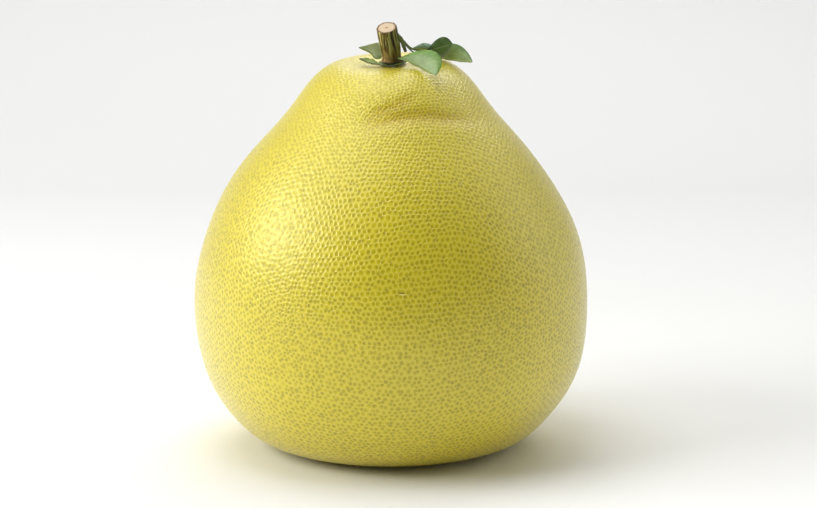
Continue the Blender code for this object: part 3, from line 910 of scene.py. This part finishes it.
def citrusLeaf():
    # citrus leaf, grown: leathery and waxed, each leaf in its own greens with painted light and shade in
    # them, sunk veins and a fine net
    made, tree = newMaterial("waxedCitrusLeaf")
    place = addNode(tree, "ShaderNodeTexCoord")
    blade = addNode(tree, "ShaderNodeAttribute", {"attribute_name": "blade"})
    leafTintAndLight = addNode(tree, "ShaderNodeAttribute", {"attribute_name": "leafTintAndLight"})
    axes = addNode(tree, "ShaderNodeSeparateXYZ", {}, {"Vector": blade.outputs["Vector"]})
    out = addNode(tree, "ShaderNodeMath", {"operation": "ABSOLUTE"}, {0: axes.outputs["Y"]})
    swept = addNode(tree, "ShaderNodeMath", {
        "operation": "MULTIPLY_ADD", 1: -2.4,
    }, {0: out.outputs["Value"]})
    steps = addNode(tree, "ShaderNodeMath", {"operation": "MULTIPLY", 1: 11.0}, {0: axes.outputs["X"]})
    tree.links.new(steps.outputs["Value"], swept.inputs[2])
    between = addNode(tree, "ShaderNodeMath", {
        "operation": "PINGPONG", 1: 0.5,
    }, {0: swept.outputs["Value"]})
    sideVein = addNode(tree, "ShaderNodeMapRange", {
        "interpolation_type": "SMOOTHSTEP", "From Min": 0.0, "From Max": 0.14,
        "To Min": 0.55, "To Max": 0.0,
    }, {"Value": between.outputs["Value"]})
    midVein = addNode(tree, "ShaderNodeMapRange", {
        "interpolation_type": "SMOOTHSTEP", "From Min": 0.0, "From Max": 0.09,
        "To Min": 1.0, "To Max": 0.0,
    }, {"Value": out.outputs["Value"]})
    vein = addNode(tree, "ShaderNodeMath", {
        "operation": "MAXIMUM",
    }, {0: sideVein.outputs["Result"], 1: midVein.outputs["Result"]})
    mesh = addNode(tree, "ShaderNodeTexVoronoi", {
        "feature": "DISTANCE_TO_EDGE", "Scale": 1300.0,
    }, {"Vector": place.outputs["Object"]})
    meshLine = addNode(tree, "ShaderNodeMapRange", {
        "From Min": 0.0, "From Max": 0.12, "To Min": 1.0, "To Max": 0.0,
    }, {"Value": mesh.outputs["Distance"]})
    blotch = addNode(tree, "ShaderNodeTexNoise", {
        "Scale": 330.0, "Detail": 4.0, "Roughness": 0.6,
    }, {"Vector": place.outputs["Object"]})
    tone = addNode(tree, "ShaderNodeMapRange", {
        "From Min": 0.3, "From Max": 0.7, "To Min": 0.82, "To Max": 1.18,
    }, {"Value": blotch.outputs["Fac"]})
    toned = addNode(tree, "ShaderNodeVectorMath", {
        "operation": "SCALE",
    }, {0: leafTintAndLight.outputs["Color"], "Scale": tone.outputs["Result"]})
    veinShare = addNode(tree, "ShaderNodeMath", {
        "operation": "MULTIPLY", 1: 0.35,
    }, {0: vein.outputs["Value"]})
    veined = addNode(tree, "ShaderNodeMix", {
        "data_type": "RGBA", 7: hexToLinear("B9C99A"),
    }, {0: veinShare.outputs["Value"], 6: toned.outputs["Vector"]})
    height = addNode(tree, "ShaderNodeMath", {
        "operation": "MULTIPLY_ADD", 1: 0.25,
    }, {0: meshLine.outputs["Result"], 2: vein.outputs["Value"]})
    bump = addNode(tree, "ShaderNodeBump", {
        "invert": True, "Strength": 0.8, "Distance": 0.0001,
    }, {"Height": height.outputs["Value"]})
    shader = addNode(tree, "ShaderNodeBsdfPrincipled", {
        "Roughness": 0.45, "IOR": 1.45, "Specular IOR Level": 0.35,
    }, {"Base Color": veined.outputs[2], "Normal": bump.outputs["Normal"]})
    addNode(tree, "ShaderNodeOutputMaterial", {}, {"Surface": shader.outputs["BSDF"]})
    return made


leafMaterial = citrusLeaf()
for leafNumber, (leafName, leafShape) in enumerate(leafSet.items()):
    settle(makeLeaf(leafName, leafShape, leafNumber, leafMaterial), "leaf", leafShape["node"])
print("leaves done")

# ---- floor, light and camera
studioSet = {  # metres; a light's turn and lift are degrees from the front to the right and up from level
    "floorHalfWidth": 3.0, "floorFront": -2.2, "wallAt": 1.7, "coveRadius": 1.0, "wallHeight": 2.6,
    "aim": (0.0, 0.0, 0.08),
    "airFront": 0.12, "airBack": 1.3,
    "lights": {  # turn, lift, distance, width, height, watts
        "keySoftbox": (-74, 29, 1.15, 0.85, 0.65, 9.1),
        "topSoftbox": (-100, 78, 1.2, 0.8, 0.8, 5.2),
        "fillSoftbox": (98, 22, 1.2, 0.7, 0.9, 0.9),
        "backSoftbox": (165, 42, 1.3, 1.2, 0.5, 4.6),
    },
}


def makeSweep():
    # floor and wall in one bend: straight, quarter circle, straight, carried sideways
    turn = np.linspace(0, math.pi / 2, 32)
    radius, wall = studioSet["coveRadius"], studioSet["wallAt"]
    y = np.concatenate([[studioSet["floorFront"]], wall - radius + radius * np.sin(turn), [wall]])
    z = np.concatenate([[0], radius - radius * np.cos(turn), [studioSet["wallHeight"]]])
    x = np.array([-1, 1]) * studioSet["floorHalfWidth"]
    points = np.stack(np.broadcast_arrays(x[None], y[:, None], z[:, None]), -1).reshape(-1, 3)
    # matte paper, printed in graded greys: it evens out the light that falls off towards the wall
    made, tree = newMaterial("mattePaperSweep")
    place = addNode(tree, "ShaderNodeTexCoord")
    axes = addNode(tree, "ShaderNodeSeparateXYZ", {}, {"Vector": place.outputs["Object"]})
    depth = addNode(tree, "ShaderNodeMapRange", {
        "From Min": -0.2, "From Max": 1.3,
    }, {"Value": axes.outputs["Y"]})
    tone = addNode(tree, "ShaderNodeValToRGB", {}, {"Fac": depth.outputs["Result"]})
    ramp = tone.color_ramp
    ramp.elements[0].position, ramp.elements[0].color = 0.12, hexToLinear("F6F6F4")
    ramp.elements[1].position, ramp.elements[1].color = 1.0, hexToLinear("FFFFFF")
    for position, code in ((0.3, "ECECEA"), (0.5, "E6E6E5"), (0.75, "F6F6F5")):
        ramp.elements.new(position).color = hexToLinear(code)
    shader = addNode(tree, "ShaderNodeBsdfPrincipled", {
        "Roughness": 0.9, "Specular IOR Level": 0.1,
    }, {"Base Color": tone.outputs["Color"]})
    # one-sided, so that it doesn't hide the fruit from a viewer standing behind the wall
    facing = addNode(tree, "ShaderNodeNewGeometry")
    clear = addNode(tree, "ShaderNodeBsdfTransparent")
    oneSided = addNode(tree, "ShaderNodeMixShader", {}, {
        0: facing.outputs["Backfacing"], 1: shader.outputs["BSDF"], 2: clear.outputs["BSDF"],
    })
    addNode(tree, "ShaderNodeOutputMaterial", {}, {"Surface": oneSided.outputs["Shader"]})
    sweep = meshPiece("studioSweep", points / mm, gridFaces(len(y), 2).tolist(), [made])


def addSoftbox(name, turn, lift, distance, width, height, watts):
    lamp = bpy.data.lights.new(name, "AREA")
    lamp.shape = "RECTANGLE"
    lamp.size, lamp.size_y = width, height
    lamp.energy = watts
    box = bpy.data.objects.new(name, lamp)
    bpy.context.scene.collection.objects.link(box)
    across, up = math.radians(turn), math.radians(lift)
    way = Vector((math.sin(across) * math.cos(up), -math.cos(across) * math.cos(up), math.sin(up)))
    aim = Vector(studioSet["aim"])
    box.location = aim + way * distance
    box.rotation_euler = (-way).to_track_quat("-Z", "Y").to_euler()


cameraSet = {"lens": 135.0, "distance": 1.238, "lift": 12.0, "aim": (0.00695, 0.0, 0.0779)}


def addCamera():
    # stands in front, above the floor, and looks down by its lift in degrees
    camera = bpy.data.objects.new("viewCamera", bpy.data.cameras.new("viewCamera"))
    camera.data.lens = cameraSet["lens"]
    bpy.context.scene.collection.objects.link(camera)
    tilt = math.radians(cameraSet["lift"])
    x, y, z = cameraSet["aim"]
    back, rise = cameraSet["distance"] * math.cos(tilt), cameraSet["distance"] * math.sin(tilt)
    camera.location = (x, y - back, z + rise)
    camera.rotation_euler = (math.pi / 2 - tilt, 0, 0)
    bpy.context.scene.camera = camera


def addAir():
    world = bpy.data.worlds.new("studioAir")
    bpy.context.scene.world = world
    world.use_nodes = True
    tree = world.node_tree
    # a white room, dim on the side that the viewer stands on
    way = addNode(tree, "ShaderNodeTexCoord")
    axes = addNode(tree, "ShaderNodeSeparateXYZ", {}, {"Vector": way.outputs["Generated"]})
    glow = addNode(tree, "ShaderNodeMapRange", {
        "From Min": -0.5, "From Max": 0.7,
        "To Min": studioSet["airFront"], "To Max": studioSet["airBack"],
    }, {"Value": axes.outputs["Y"]})
    tree.nodes["Background"].inputs["Color"].default_value = (1, 1, 1, 1)
    tree.links.new(glow.outputs["Result"], tree.nodes["Background"].inputs["Strength"])


makeSweep()
for lightName, lightPlace in studioSet["lights"].items():
    addSoftbox(lightName, *lightPlace)
addAir()
addCamera()
bpy.context.scene.view_settings.view_transform = "Standard"
print("studio done")
